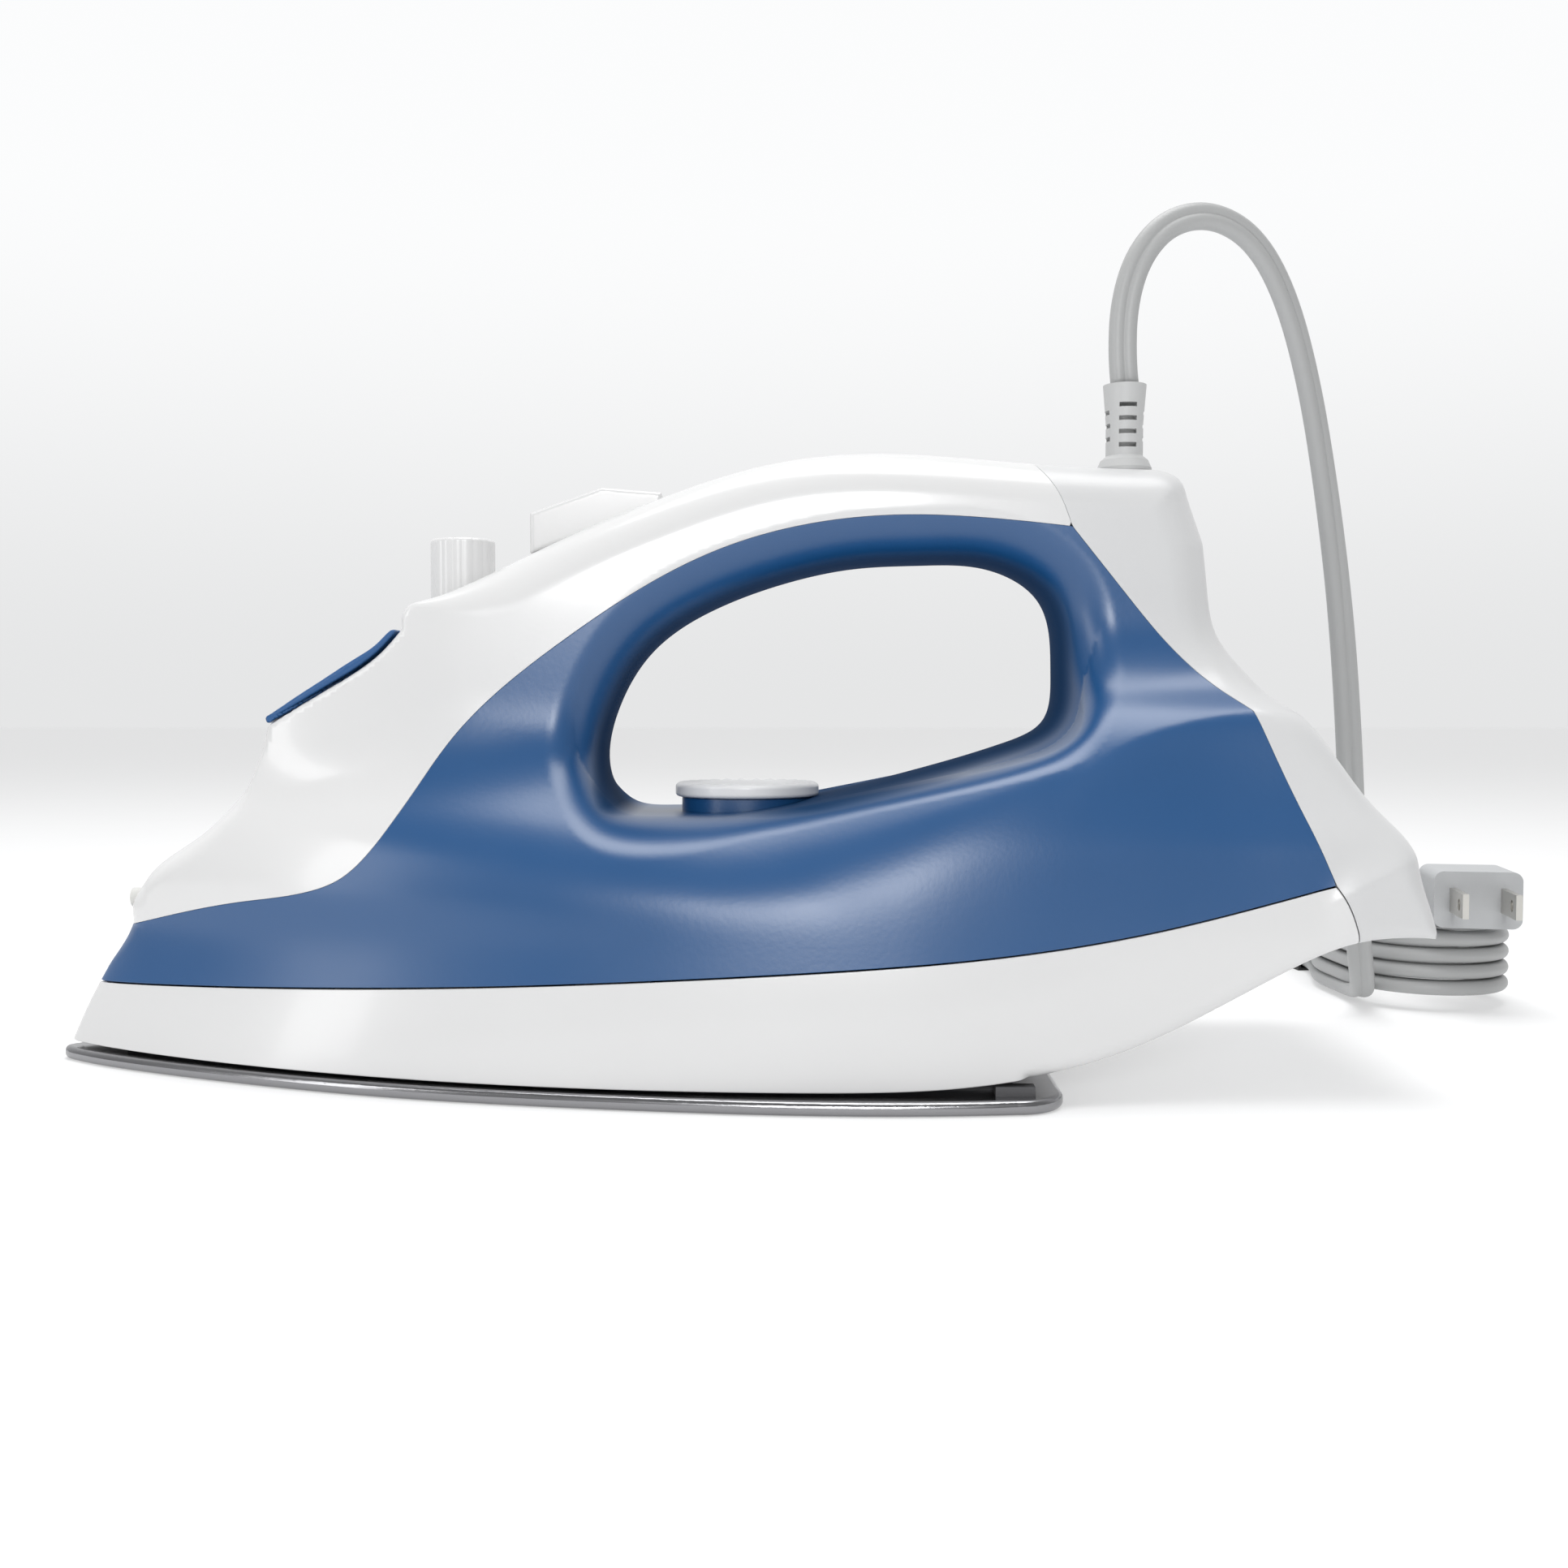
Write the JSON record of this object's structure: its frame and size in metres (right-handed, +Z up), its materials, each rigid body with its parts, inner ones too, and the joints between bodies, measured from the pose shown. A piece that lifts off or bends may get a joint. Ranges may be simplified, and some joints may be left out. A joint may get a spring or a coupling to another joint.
{
  "type": "steam iron",
  "caption": "Domestic steam iron with water lid, spray knob, steam slider, temperature dial, swivel cord guard and tied flat cord with a two-blade plug.",
  "frame": {"origin": "centre of the iron's length and width, on the surface its soleplate rests on", "axes": "+X from the nose to the heel, +Z up, and +Y across, to the left of someone who looks from the nose to the heel"},
  "size_m": [0.3678, 0.2531, 0.1972],
  "materials": {
    "plate_steel": "satin, rolled bright rim",
    "cast_aluminium": "as cast",
    "element_sheath": "dull",
    "chamber_steel": "plain",
    "white_gloss": "gloss",
    "blue_satin": "satin, fine grain",
    "lid_blue": "semi-gloss",
    "dial_white": "gloss",
    "tank_plastic": "translucent",
    "silicone": "matt",
    "pump_plastic": "plain",
    "spring_steel": "plain",
    "screw_steel": "zinc",
    "black_plastic": "plain",
    "wire_sleeve": "woven sleeve",
    "cord_grey": "satin",
    "guard_grey": "satin",
    "tie_black": "satin",
    "plug_grey": "satin",
    "blade_nickel": "plated"
  },
  "bodies": {
    "root": {"soleplate": "plate_steel", "heater_casting": "cast_aluminium", "heating_element": "element_sheath", "steam_chamber_cover": "chamber_steel", "soleplate_clips": "chamber_steel", "thermostat": "black_plastic", "thermal_fuse": "chamber_steel", "casting_screws": "screw_steel", "heat_skirt": "white_gloss", "body_shell": "blue_satin", "top_cover": "white_gloss", "rear_cover": "white_gloss", "rear_cover_screws": "screw_steel", "water_tank": "tank_plastic", "valve_seat": "silicone", "pump_body": "pump_plastic", "suction_tube": "pump_plastic", "pump_spring": "spring_steel", "spray_hose": "silicone", "spray_nozzle": "white_gloss", "lid_pin": "screw_steel", "dial_base": "blue_satin", "terminal_block": "black_plastic", "supply_leads": "wire_sleeve", "heater_leads": "wire_sleeve", "guard_retainer": "black_plastic", "cord_clamp": "black_plastic", "cord_tube": "cord_grey", "cord_tail": "cord_grey", "cord_hank": "cord_grey", "cord_tie": "tie_black", "mains_plug": "plug_grey", "plug_blades": "blade_nickel"},
    "lid": {"water_lid": "lid_blue"},
    "knob": {"burst_knob": "white_gloss", "pump_piston": "pump_plastic"},
    "slider": {"steam_slider": "white_gloss"},
    "valve": {"steam_valve_rod": "pump_plastic"},
    "dial_body": {"dial": "dial_white", "dial_spindle": "screw_steel"},
    "guard": {"cord_guard": "guard_grey"}
  },
  "joints": [
    {"name": "lid_hinge", "type": "hinge", "parent": "root", "child": "lid", "pos_m": [-0.067, 0, 0.09695], "axis": [0, 1, 0], "range_deg": [0, 75]},
    {"name": "knob_press", "type": "slide", "parent": "root", "child": "knob", "axis": [0, 0, -1], "range_m": [0, 0.005], "stiffness_N_per_m": 600, "springref_m": -0.001, "deforming": ["pump_spring"]},
    {"name": "slider_slide", "type": "slide", "parent": "root", "child": "slider", "axis": [0.9164, 0, 0.4003], "range_m": [0, 0.008]},
    {"name": "valve_lift", "type": "slide", "parent": "root", "child": "valve", "axis": [0, 0, 1], "range_m": [0, 0.0024]},
    {"name": "dial_turn", "type": "hinge", "parent": "root", "child": "dial_body", "pos_m": [0.009, 0, 0.06], "axis": [0, 0, 1], "range_deg": [0, 300]},
    {"name": "guard_swivel", "type": "hinge", "parent": "root", "child": "guard", "pos_m": [0.0954, 0, 0.14], "axis": [0, 0, 1], "range_deg": [-170, 170]}
  ],
  "couplings": [
    {"joint": "valve_lift", "follows": "slider_slide", "ratio": 0.3}
  ]
}
